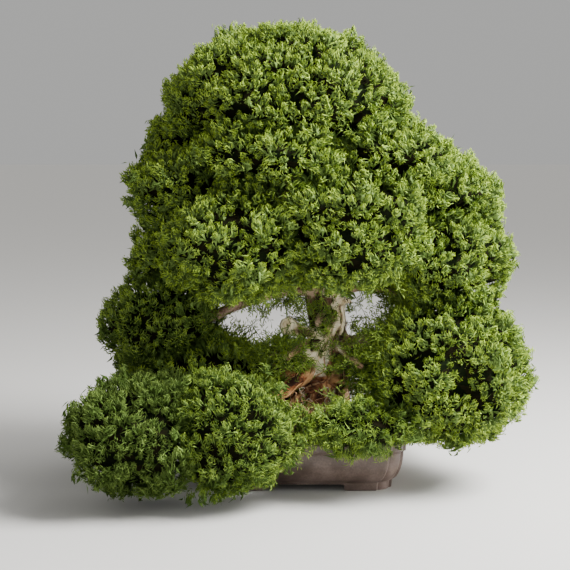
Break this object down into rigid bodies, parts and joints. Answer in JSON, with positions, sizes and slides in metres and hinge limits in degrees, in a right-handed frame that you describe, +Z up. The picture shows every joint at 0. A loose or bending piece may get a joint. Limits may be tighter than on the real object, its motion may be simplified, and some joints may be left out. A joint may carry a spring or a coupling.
{
  "type": "potted juniper bonsai",
  "caption": "Clipped juniper bonsai for display: thick twisting trunk with silvered deadwood, domed canopy of close foliage pads, surface roots, in a shallow unglazed footed pot.",
  "frame": {"origin": "middle of the whole footprint, foliage included, at the level of the surface that the pot's feet stand on", "axes": "+Z up, -Y towards the viewing front of the tree, +X to the viewer's right"},
  "size_m": [0.6872, 0.5432, 0.69],
  "materials": {
    "pot": "unglazed fired clay, grey brown, faint sheen",
    "drain_screen": "black net",
    "soil": "fired clay granules with some moss",
    "bark": "fibrous reddish brown bark",
    "deadwood": "bare weathered wood, silvery and grained",
    "foliage": "soft scale leaves, bright green tips"
  },
  "bodies": {
    "root": {"pot": "pot", "drain_screen_left": "drain_screen", "drain_screen_right": "drain_screen", "soil": "soil", "trunk_and_branches": "bark", "deadwood": "deadwood", "pad_crown": "foliage", "pad_front_crown": "foliage", "pad_left_crown": "foliage", "pad_right_crown": "foliage", "pad_upper_left": "foliage", "pad_upper_right": "foliage", "pad_front_left": "foliage", "pad_front_right": "foliage", "pad_middle_left": "foliage", "pad_middle_right": "foliage", "pad_inner_right": "foliage", "pad_left_ear": "foliage", "pad_lower_left": "foliage", "pad_behind_lower_left": "foliage", "pad_lower_centre": "foliage", "pad_lower_front": "foliage", "pad_lower_right": "foliage", "pad_back_upper_left": "foliage", "pad_back_upper_right": "foliage", "pad_back_middle_left": "foliage", "pad_back_middle": "foliage", "pad_back_middle_right": "foliage", "pad_back_lower_left": "foliage", "pad_back_lower": "foliage", "pad_back_lower_right": "foliage", "spray_left_of_trunk": "foliage", "spray_right_of_trunk": "foliage", "spray_on_trunk": "foliage"}
  },
  "joints": []
}
